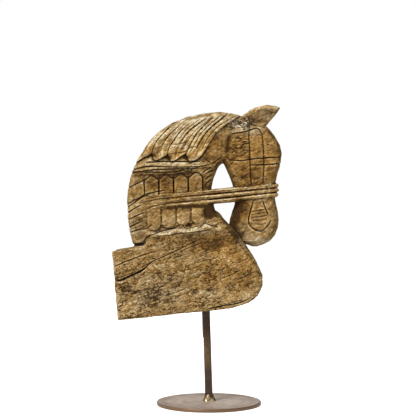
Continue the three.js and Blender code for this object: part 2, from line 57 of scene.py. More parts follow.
# The carved horse: each kind of line has its half width and depth in millimetres
horse = {
    "voxel": 0.75 * mm,
    "mergeWithin": 0.01 * mm,
    "softening": 2,
    "triangles": 196000,
    "boxMargin": 0.15 * mm,
    "outwardRounds": 30,
    "rimDepth": (0.55, 0.1, 0.6),  # share of the carving left on a rim, and where it grows to the whole
    "nearSide": (6, -14),  # y where the marks of the near side alone begin and are whole
    "profile": {"tip": 0.35, "core": 0.75, "shoulder": 2.2, "lipAt": 2, "lipWidth": 0.8},
    "cuts": {
        "maneGrooves": (1.6, 1.1, [
            [(-2.5, 410.5), (-26.5, 393), (-35, 382.5), (-42, 373)],
            grooves[2],
            [(26, 416), (-1, 393), (-11, 378.5), (-17.5, 367.5)],
        ]),
        "parting": (1.6, 0.45, [parting]),
        "hairLines": (0.9, 0.9, [
            *grooves[:2],
            [(-43, 398), (-57, 385), (-68, 368.5)],
            [(-66, 398), (-80, 382), (-90, 366)], [(-73, 392), (-88, 374), (-97, 358)],
            [(-12, 409), (-32, 393), (-42, 380)],
            [(3, 410), (-17, 394), (-29, 379), (-37, 366)],
            [(17, 414), (-7, 393), (-18, 377), (-26, 362)],
            [(36, 413), (13, 398), (0, 384), (-10, 366)],
        ]),
        "lockSteps": (1.2, 0.9, [
            [(-53, 373), (-44, 373), (-37, 374.5), (-31, 377)],
            [(-57, 358.5), (-46.5, 360.5), (-33.5, 362.5), (-27, 368), (-19, 369), (-15, 366)],
        ]),
        "bandLines": (1.1, 2.0, [
            [(-119, 335), (-107, 337.7), (-98, 339.5), (-85, 341.8), (-55, 341), (-24, 341), (-10, 342),
             (1, 344.5)],
            [(-119, 330.5), (-107, 332.8), (-91.5, 335), (-78, 336.8), (-57, 338), (-42, 338.6), (-24, 338.2),
             (-13, 340.4)],
            [(-91.5, 333.2), (-80, 333.7), (-68, 333.2), (-46.4, 334.3), (-37.4, 336.8)],
            [(-88, 347.5), (-70, 348.5), (-42, 348.5), (-14, 349)],
        ]),
        "plaqueLines": (1.1, 1.7, [
            [(-91.5, 321), (-90.5, 302)], [(-70.8, 323), (-70.4, 303)], [(-50, 324), (-49.4, 306)],
            [(-29.2, 325.5), (-28.6, 308)],
            [(-122, 308), (-112, 312.5), (-92, 322), (-81, 329.5), (-70.8, 323.5), (-60.3, 331), (-50, 324.5),
             (-39.6, 332.5), (-29.3, 326), (-18.9, 333.7), (-9, 327), (-9.4, 310)],
            [(-9, 333), (-4.5, 336), (3, 341)], [(-4, 331), (1, 334), (6, 336)],
            [(-5, 324), (0, 327), (4, 330)],
            [(-5, 316), (-1, 320), (3, 323)],
            [(-38, 337.5), (-30, 334), (-24, 337), (-31, 339.5)],
        ]),
        "reinLines": (1.0, 0.65, [
            [(-97, 290), (-70, 295.5), (-27, 299.5), (18.5, 304), (58, 308), (98, 312)],
            [(-84, 284), (-60, 289), (-20, 293.3), (18.5, 297), (58, 301), (98, 305.5)],
            [(-104, 292), (-97, 297.5), (-69, 303.5), (-27, 305.5)],
        ]),
        "strandHairs": (0.7, 0.5, [
            [(-88, 296), (-60, 300.6), (-20, 304), (20, 307.6), (58, 311.5), (90, 315)],
            [(-78, 289), (-40, 294.5), (0, 298), (40, 302), (80, 306.6)],
            [(-60, 284.5), (-20, 289.6), (30, 294.4), (80, 300)],
        ]),
        "tabLines": (1.1, 0.35, [
            [(-67, 284), (-67, 262)], [(-46, 285), (-46, 264)], [(-25.4, 285), (-25.4, 268)],
            [(-88, 262), (-84, 255), (-77.5, 251.5), (-70, 254.5), (-67, 259.5), (-63, 256), (-56.6, 254.8),
             (-49.5, 257.5), (-46, 263), (-42, 259.5), (-35.7, 258.3), (-28.5, 261), (-25.4, 266),
             (-20, 262.5), (-14, 262), (-8, 266)],
            [(-108, 262.5), (-100, 266), (-88, 271), (-78, 274)],
        ]),
        "faceLines": (1.0, 1.9, [
            [(31, 387.5), (38, 389), (51.5, 391), (62, 394.5), (69, 396), (74, 390), (76, 387)],
            [(28, 351.5), (45, 350), (62.5, 352.5), (80, 354), (104, 355.5)],
            [(57, 344), (71.5, 344), (89, 345), (104, 346.5)],
            [(76.5, 293), (79, 286), (84, 274)],
        ]),
        "softLines": (1.2, 0.75, [
            *faceStraps,
            [(-12, 357), (-4, 352), (3.5, 346), (10, 349.5), (18.5, 355.5)],
        ]),
        "muzzleLine": (1.0, 1.7, [
            [(63, 293), (60, 281), (56.5, 268), (57.5, 260), (62, 254.5), (69, 250.5), (75.5, 250.5),
             (81.5, 255.5), (86.5, 262), (88, 266)],
        ]),
        "wrinkles": (1.3, 0.6, [
            [(60.5, 277.5), (70, 279.5), (81, 281)], [(60, 274), (70, 275), (82, 277.5)],
            [(60, 270), (70, 270.5), (84, 273)], [(62, 265.5), (72, 265.5), (83, 268)],
            [(66, 260.5), (74, 259.5), (81, 262)],
        ]),
        "neckLines": (1.0, 1.7, [
            [(-122, 279), (-113.5, 285), (-101, 293.5), (-91, 301.5), (-78, 305), (-62, 308.5)],
            [(-122, 272), (-115, 276), (-106.5, 281.5), (-96.5, 287)],
            [(-121, 263.5), (-113, 267), (-104, 271.5), (-92, 276)],
            [(-120, 252.5), (-112, 256), (-106, 259), (-97, 263)],
            [(-118, 246.5), (-111.5, 248.5), (-99, 252.5), (-88, 254), (-81, 259.5)],
        ]),
        "notch": (2.4, 3.6, [[(-116, 229.8), (-108, 230.6), (-94, 232.6), (-90, 236)]]),
        "ledgeLines": (0.9, 1.1, [
            [(-93, 235.8), (-86, 243), (-75, 247), (-65.6, 251), (-58, 252.7), (-46, 255)],
            [(-65.6, 255), (-52, 254.4), (-39, 259), (-32, 254.4), (-19.7, 256.4), (-8.6, 260), (-3, 266)],
            [(-75, 244), (-60, 244), (-48, 246), (-34, 248), (-17.6, 249.5), (2.5, 252)],
        ]),
        "earLines": (1.2, 0.8, [[(50, 411), (54, 405), (61, 401.5), (71, 399), (81, 397)]]),
        "chestGroove": (2.0, 1.0, [
            [(-6, 262), (2, 259), (12.5, 256)], [(-6, 262), (-12, 256.5), (-16, 254)],
        ]),
        "eyeLines": (1.0, 0.45, [
            [(31.5, 368), (35, 372), (41, 373.6), (47, 371.6), (52, 369.5)],
            [(31.5, 368), (35, 364.8), (41, 363.8), (46.5, 365.5), (52, 369.5)],
            [(30, 362), (35, 357.8), (43, 356.3), (51, 359), (56.5, 366)],
            [(33, 375.5), (40, 377.4), (48, 376), (55, 371)],
        ]),
    },
    "recesses": [
        (7.0, 1.6, [(-60, 281), (-30, 284), (-5, 284), (8, 282)]),
        (6.0, 1.6, [(-6, 279), (0, 273), (4, 268)]),
        (2.6, 1.0, [(-104, 328), (-92, 329.5), (-72, 330.5), (-50, 331), (-30, 332), (-15, 335)]),
        (4.0, 1.0, [(31, 384), (26.5, 371), (27.5, 356)]),
        (2.6, 1.0, [(44.6, 368.4), (46.4, 369.4)]),
    ],
    "crackTaper": 0.3,
    "cracks": [
        (0.8, 2.2, [(-139, 198), (-134, 200.5), (-117, 207.5), (-94.5, 216), (-70, 224.5)]),
        (1.0, 2.8, [(-140, 188), (-133, 185), (-127, 180.2), (-112.5, 186.5), (-94.5, 195), (-85, 203),
                    (-78, 208.5)]),
        (0.7, 1.5, [(-134, 184.5), (-126, 184.5), (-114, 189), (-100, 194.5)]),
        (0.9, 2.0, [(-93.5, 200), (-80, 207.5), (-64, 214.6), (-42.5, 224.5), (-28, 232), (-12, 239)]),
        (0.8, 1.4, [(-40, 222), (-26, 228), (-8, 235)]),
        (1.3, 2.4, [(-2, 141), (8.5, 143), (22.5, 146), (43.5, 149.5), (56.5, 155.5)]),
        (0.9, 1.4, [(-104, 182), (-95, 185.5)]),
        (0.9, 1.4, [(-94, 174.5), (-87, 178)]),
        (0.9, 1.2, [(-115, 221.5), (-109, 223.5)]),
        (0.8, 1.2, [(-80, 228), (-70, 231.5), (-58, 235)]),
        (0.9, 1.3, [(-49, 212.5), (-40, 215.5), (-30, 219)]),
        (0.8, 1.0, [(-20, 205), (-4, 210), (12, 213)]),
        (0.9, 1.1, [(18, 184), (32, 189), (44, 196)]),
        (0.9, 1.1, [(40, 182), (52, 187), (64, 194)]),
        (0.8, 1.0, [(-62, 160), (-44, 165), (-30, 172)]),
    ],
    "squiggles": {"halfWidth": 0.8, "depth": 1.0, "patches": [
        {"middle": (44, 402), "reach": (14, 7), "count": 44, "size": 2.4, "bend": (2.5, 5), "flat": 0.7,
         "seed": 5},
        {"middle": (44, 378), "reach": (14, 7), "count": 16, "size": 7, "bend": (0.7, 1.4), "flat": 0.2,
         "seed": 9},
        {"middle": (42, 365), "reach": (12, 6), "count": 14, "size": 4, "bend": (1, 2.4), "flat": 0.35,
         "seed": 21},
    ]},
    "pitStretch": 1.5,
    "pits": [  # x, z, radius and depth
        (-124, 172, 2.6, 1.4), (-119, 171, 3.2, 1.6), (-114, 173, 2.4, 1.4), (-110, 166, 2.2, 1.3),
        (-104, 164, 2.6, 1.4), (-99, 167, 1.8, 1.2), (-108, 158, 2.0, 1.0), (-82, 157, 2.6, 1.3),
        (-75, 155, 3.0, 1.3), (-68, 168, 2.4, 1.1), (-86, 169, 2.4, 1.0), (-59, 151, 2.8, 1.1),
        (0.5, 167, 3.2, 1.4), (64, 421, 1.6, 1.6), (-62, 380, 1.4, 1.0), (-37, 367, 1.8, 1.2),
        (-46, 360, 1.6, 1.0), (-20, 345, 1.5, 1.0), (-29, 335.5, 1.8, 1.4), (88, 372, 1.4, 0.8),
        (84, 373, 1.2, 0.8), (37, 262, 2.0, 1.0), (36, 371, 2.0, 0.8), (48, 361, 2.2, 0.7),
        (-27, 259.5, 2.4, 2.4), (-31, 257.5, 1.5, 1.4), (-22.5, 261.5, 1.8, 1.6),
    ],
    "lockEdge": [
        (-118, 341), (-104, 347), (-91.5, 355), (-81, 359), (-80.5, 362), (-78, 352.5), (-75.5, 350.5),
        (-70, 352), (-58.5, 358.5), (-57, 358), (-53.5, 349), (-48.5, 350), (-33, 360), (-32, 359),
        (-27, 348), (-20.5, 350), (-10.5, 357),
    ],
    "lockPart": [(-0.5, 372), (10, 389), (25, 401), (42.5, 412.5), (45, 440), (-150, 440), (-150, 330)],
    "lockRecess": (2.4, 1.2),
    "lanes": [
        [(0, 424), (-40, 416), (-70, 398), (-95, 372), (-110, 345)],
        [*grooves[0], (-78, 340)],
        [*grooves[1], (-58, 340)],
        [*grooves[2], (-36, 342)],
        [*parting, (-18, 342)],
        [(70, 405), (40, 390), (20, 372), (8, 355)],
    ],
    "strands": [
        [(-97.5, 293.5), (-69.5, 299), (-27, 303), (18.5, 307.5), (58, 311.5), (99, 315.5)],
        [(-86, 287), (-62, 292), (-27, 296), (18.5, 300.5), (58, 304.5), (99, 309)],
        [(-72, 282.5), (-48, 287), (-12.5, 290.5), (18.5, 293.5), (58, 297.5), (99, 302.5)],
    ],
    "strandReach": 4.4,
    "softened": [(76, 415, 26, 13, 30), (-46, 270, 48, 16, 20)],
    "softenedRim": (1.3, 0.8),
    "ledge": [(-140, 228), (-97, 234), (-84, 244), (-66, 250), (-36, 254), (-10, 259), (6, 270), (16, 272),
              (30, 258), (52, 236), (80, 200)],
    "ledgeBlend": 1.5,
    "skin": {  # height on the head, what the block adds, whether it follows the grain, size and seed
        "tool": (0.34, 0, False, (11, 11, 9), 1),
        "ridges": (0.1, 0.16, True, (16, 6, 3), 2),
        "fine": (0.08, 0.14, True, (5, 3, 2), 3),
        "rough": (0.12, 0.2, False, (3, 3, 3), 4),
        "swell": (0, 0.7, True, (46, 40, 17), 7),
    },
    "torn": {  # furrows of the block, and the heights and lengths over which they grow
        "depth": 0.7, "least": 0.3, "low": (225, 175), "back": (40, -20),
        "furrow": ((5.5, 4, 2.8), 6), "furrowEdge": (0.2, 0.04),
        "patch": ((12, 9, 7), 12), "patchEdge": (-0.25, 0.3),
    },
    "hairs": {  # strength, strands in a lock, size through the wood and down the lock, and seed
        "carved": (0.42, 6, 8, 16, 8),
        "strand": (0.2, 7, 8, 20, 9),
        "fine": (0.16, 17, 4, 9, 13),
    },
    "poll": (60, 400),
    "fibres": {"climb": 0.08, "depth": 0.3, "size": (26, 6, 1.6), "seed": 10, "twist": 0.1,
               "turns": (0.75, 1.1)},
}
grainTilt = math.radians(20)  # the plank's grain climbs towards the breast


def smoothStep(low, high, value):
    share = np.clip((value - low) / (high - low), 0, 1)
    return share * share * (3 - 2 * share)


def smoothLine(points, perStep=4):
    # a curve through all the points
    keys = np.array([points[0], *points, points[-1]], float)
    rows = []
    for k in range(1, len(keys) - 2):
        p0, p1, p2, p3 = keys[k - 1:k + 3]
        for t in np.arange(perStep) / perStep:
            rise = t * (3 * (p1 - p2) + p3 - p0) / 2
            rows.append(p1 + t * ((p2 - p0) / 2 + t * (p0 - 2.5 * p1 + 2 * p2 - p3 / 2 + rise)))
    return np.array([*rows, keys[-1]])


def lineDistance(x, z, line, reach):
    # distance to a line, and how far along it the nearest place is; far points get the reach
    far = np.full(len(x), float(reach))
    along = np.zeros(len(x))
    low = line.min(0) - reach
    high = line.max(0) + reach
    near = np.nonzero((x > low[0]) & (x < high[0]) & (z > low[1]) & (z < high[1]))[0]
    for i, (a, b) in enumerate(zip(line[:-1], line[1:])):
        span = b - a
        t = np.clip(((x[near] - a[0]) * span[0] + (z[near] - a[1]) * span[1]) / max(span @ span, 1e-9), 0, 1)
        gone = np.hypot(x[near] - a[0] - t * span[0], z[near] - a[1] - t * span[1])
        closer = gone < far[near]
        far[near[closer]] = gone[closer]
        along[near[closer]] = (i + t[closer]) / (len(line) - 1)
    return far, along


def cutLines(x, z, width, depth, lines, taper=0.08):
    # V cuts with a soft shoulder, thinning out at both ends, and light rims beside them that are painted
    # highlights
    profile = horse["profile"]
    core = profile["core"]
    cut = np.zeros(len(x))
    rimHighlights = np.zeros(len(x))
    for points in lines:
        far, along = lineDistance(x, z, smoothLine(points), 4 * width)
        ends = np.clip(np.minimum(along, 1 - along) / taper + profile["tip"], 0, 1)
        shoulder = np.clip(1 - far / (profile["shoulder"] * width), 0, 1) ** 2
        shape = core * np.clip(1 - far / width, 0, 1) + (1 - core) * shoulder
        cut = np.maximum(cut, depth * ends * shape)
        rimHighlight = np.exp(-((far / width - profile["lipAt"]) / profile["lipWidth"]) ** 2)
        rimHighlights = np.maximum(rimHighlights, min(depth, 1) * ends * rimHighlight)
    return cut, rimHighlights


def inside(x, z, outline):
    # whether each place is within a closed outline
    within = np.zeros(len(x), bool)
    for (ax, az), (bx, bz) in zip(outline, outline[1:] + outline[:1]):
        crosses = (az > z) != (bz > z)
        crossX = ax + (z - az) * (bx - ax) / ((bz - az) or 1e-9)
        within ^= crosses & (x < crossX)
    return within


def latticeNoise(x, y, z, size, seed):
    # smooth random values from -1 to 1 that change over the given size
    cells, shift = 48, 1000
    values = np.random.default_rng(seed).uniform(-1, 1, (cells, cells, cells))
    place = np.stack([x, y, z]) / np.reshape(size, (3, 1)) + shift
    whole = np.floor(place).astype(int)
    share = place - whole
    share = share * share * (3 - 2 * share)
    total = 0
    for corner in range(8):
        step = np.array([corner & 1, corner >> 1 & 1, corner >> 2])[:, None]
        weight = np.prod(np.where(step, share, 1 - share), axis=0)
        total = total + weight * values[tuple((whole + step) % cells)]
    return total


def neighbourMean(mesh, field, rounds):
    # the field, a row for each vertex, smoothed along the mesh's edges
    edges = np.empty(2 * len(mesh.edges), np.int32)
    mesh.edges.foreach_get("vertices", edges)
    a, b = edges[::2], edges[1::2]
    size = len(field)
    count = np.bincount(a, minlength=size) + np.bincount(b, minlength=size)
    for _ in range(rounds):
        columns = [np.bincount(a, column[b], size) + np.bincount(b, column[a], size) for column in field.T]
        field = 0.5 * field + 0.5 * (np.array(columns) / np.maximum(count, 1)).T
    return field


def readVectors(items, name):
    values = np.empty(3 * len(items), np.float32)
    items.foreach_get(name, values)
    return values.reshape(-1, 3).astype(float)


def grainPlace(x, y, z):
    # places along the plank's grain, through it and across it
    cos, sin = math.cos(grainTilt), math.sin(grainTilt)
    return x * cos + z * sin, y, z * cos - x * sin


def blockMask(x, z):
    # 1 on the shoulder block and 0 on the neck and head, by the line of the ledge
    ledgeX, ledgeZ = np.transpose(horse["ledge"])
    blend = horse["ledgeBlend"]
    return smoothStep(-blend, blend, np.interp(x, ledgeX, ledgeZ) - z)


def nearSide(y):
    # 1 on the side that the camera sees and 0 on the far side
    return smoothStep(*horse["nearSide"], y)


def squiggleLines(patch):
    # short bent scratches, strewn over a patch
    draw = np.random.default_rng(patch["seed"])
    lines = []
    for _ in range(patch["count"]):
        middle = np.array(patch["middle"]) + draw.uniform(-1, 1, 2) * patch["reach"]
        turn, bend = draw.uniform(0, 2 * math.pi), draw.uniform(*patch["bend"])
        radius = patch["size"] * draw.uniform(0.5, 1)
        angles = turn + bend * np.linspace(0, 1, 5)
        lines.append(middle + radius * np.stack([np.cos(angles), patch["flat"] * np.sin(angles)], 1))
    return lines


def nearLine(x, z, points, width):
    # 1 on a line, falling softly to 0 beyond its width
    far, _ = lineDistance(x, z, smoothLine(points), 2.5 * width)
    return np.exp(-(far / width) ** 2)


def lockMask(x, z):
    # whether a place is on the raised locks of the mane
    return inside(x, z, [*map(tuple, smoothLine(horse["lockEdge"], 2)), *horse["lockPart"]])


def laneField(x, z):
    # which lock of the mane a place is in, as a number that grows from the back to the parting
    wholeHorse = 400
    total = np.zeros(len(x))
    weights = np.zeros(len(x))
    for lane, points in enumerate(horse["lanes"]):
        far, _ = lineDistance(x, z, smoothLine(points), wholeHorse)
        weight = 1 / (far ** 2 + 0.5) ** 1.5
        total += lane * weight
        weights += weight
    return total / weights


def hairPlace(x, z):
    # a place's lock, and how far down from the poll it lies
    pollX, pollZ = horse["poll"]
    return laneField(x, z), np.hypot(x - pollX, z - pollZ)


def hairNoise(kind, y, lane, fall):
    # noise drawn out along the locks
    strength, strands, through, down, seed = horse["hairs"][kind]
    return strength * latticeNoise(strands * lane, y / through, fall / down, (1, 1, 1), seed)


def carvedDepth(x, y, z):
    # how far the surface goes in, in millimetres, how much of that is line or open crack, and the painted
    # highlight rims beside the lines; the line share also holds the recess under the lock tips, which is
    # painted dark as shadow
    near = nearSide(y)
    lines = np.zeros(len(x))
    rimHighlights = np.zeros(len(x))
    marks = horse["squiggles"]
    curls = [(marks["halfWidth"], marks["depth"], squiggleLines(patch)) for patch in marks["patches"]]
    carved = [(setting, 1) for setting in horse["cuts"].values()] + [(setting, near) for setting in curls]
    for setting, side in carved:
        line, rimHighlight = cutLines(x, z, *setting)
        lines = np.maximum(lines, line * side)
        rimHighlights = np.maximum(rimHighlights, rimHighlight * side)
    cut = lines.copy()
    for width, depth, points in horse["recesses"]:
        cut = np.maximum(cut, depth * nearLine(x, z, points, width))
    # the recess under the lock tips, carved and also painted dark as shadow through the dirt value
    width, depth = horse["lockRecess"]
    under = nearLine(x, z, horse["lockEdge"], width) * ~lockMask(x, z)
    cut = np.maximum(cut, depth * under)
    cracked = np.zeros(len(x))
    for width, depth, points in horse["cracks"]:
        line, _ = cutLines(x, z, width, depth, [points], horse["crackTaper"])
        cracked = np.maximum(cracked, line * near)
    stretch = horse["pitStretch"]
    for px, pz, radius, depth in horse["pits"]:
        cut = np.maximum(cut, depth * near * np.exp(-(np.hypot((x - px) / stretch, z - pz) / radius) ** 2))
    rimHighlights *= np.clip(1 - 2 * np.maximum(lines, cracked), 0, 1)
    return np.maximum(cut, cracked), np.maximum(lines, under), cracked, rimHighlights


def chipField(x, y, z):
    # 0 to 1 where the block is torn into short curly furrows, most of all low down
    torn = horse["torn"]
    least = torn["least"]
    place = grainPlace(x, y, z)
    share = least + (1 - least) * smoothStep(*torn["low"], z) * smoothStep(*torn["back"], x)
    furrow = smoothStep(*torn["furrowEdge"], np.abs(latticeNoise(*place, *torn["furrow"])))
    patch = smoothStep(*torn["patchEdge"], latticeNoise(*place, *torn["patch"]))
    return blockMask(x, z) * share * furrow * patch


def reinField(x, z):
    # 1 on the strands of the reins
    return np.max([nearLine(x, z, points, horse["strandReach"]) for points in horse["strands"]], axis=0)


def weathering(x, y, z):
    # raised (+) and worn (-) unevenness of the whole skin, in millimetres
    block = blockMask(x, z)
    grain = grainPlace(x, y, z)
    skin = {}
    for name, (onHead, onBlock, withGrain, size, seed) in horse["skin"].items():
        place = grain if withGrain else (x, y, z)
        skin[name] = (onHead + onBlock * block) * latticeNoise(*place, size, seed)
    even = skin["tool"] + skin["rough"] + skin["swell"] - horse["torn"]["depth"] * chipField(x, y, z)
    strands = hairNoise("carved", y, *hairPlace(x, z))
    fibres = horse["fibres"]
    rise = z - fibres["climb"] * x
    drawn = fibres["depth"] * latticeNoise(x, y, rise, fibres["size"], fibres["seed"])
    alongTurn, riseTurn = fibres["turns"]
    twist = fibres["twist"] * np.sin(alongTurn * x + riseTurn * rise)
    lock = lockMask(x, z)
    rein = reinField(x, z) * ~lock
    return even + np.where(lock, strands, skin["ridges"] + skin["fine"]) + rein * (drawn + twist)


def softenPlace(mesh, places, spot):
    # rounds the forms over within an ellipse, given as its middle, its two half widths and the rounds
    px, pz, rx, rz, rounds = spot
    x, _, z = (places / mm).T
    share = smoothStep(*horse["softenedRim"], np.hypot((x - px) / rx, (z - pz) / rz))
    return places + share[:, None] * (neighbourMean(mesh, places, rounds) - places)


def carveHorse():
    bpy.ops.object.select_all(action="DESELECT")
    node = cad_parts["horse_head"]
    piece = bpy.data.objects.new("carvedHorse", node.data.copy())
    bpy.context.scene.collection.objects.link(piece)
    bpy.context.view_layer.objects.active = piece
    piece.select_set(True)
    bpy.ops.object.mode_set(mode="EDIT")
    bpy.ops.mesh.select_all(action="SELECT")
    bpy.ops.mesh.remove_doubles(threshold=horse["mergeWithin"])
    bpy.ops.object.mode_set(mode="OBJECT")
    skin = piece.modifiers.new("skin", "REMESH")
    skin.mode = "VOXEL"
    skin.voxel_size = horse["voxel"]
    bpy.ops.object.modifier_apply(modifier="skin")
    soften = piece.modifiers.new("soften", "SMOOTH")
    soften.iterations = horse["softening"]
    bpy.ops.object.modifier_apply(modifier="soften")
    mesh = piece.data
    places = readVectors(mesh.vertices, "co")
    for spot in horse["softened"]:
        places = softenPlace(mesh, places, spot)
    normals = readVectors(mesh.vertex_normals, "vector")
    outward = neighbourMean(mesh, normals, horse["outwardRounds"])
    outward /= np.linalg.norm(outward, axis=1)[:, None] + 1e-9
    x, y, z = (places / mm).T
    cut, _, _, _ = carvedDepth(x, y, z)
    left, begins, whole = horse["rimDepth"]
    rim = left + (1 - left) * smoothStep(begins, whole, np.abs(outward[:, 1]))
    height = weathering(x, y, z) - cut * rim
    places += outward * (height * mm)[:, None]
    low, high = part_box("horse_head")
    margin = horse["boxMargin"]
    for axis in range(3):
        places[:, axis] = np.clip(places[:, axis], low[axis] + margin, high[axis] - margin)
    mesh.vertices.foreach_set("co", places.ravel())
    mesh.update()
    paintHorse(piece)
    faces = 2 * len(mesh.polygons)
    thin = piece.modifiers.new("thin", "DECIMATE")
    thin.ratio = min(1, horse["triangles"] / faces)
    bpy.ops.object.modifier_apply(modifier="thin")
    bpy.ops.object.shade_smooth()
    print("carved horse:", faces, "faces, thinned to", len(piece.data.polygons))
    return piece
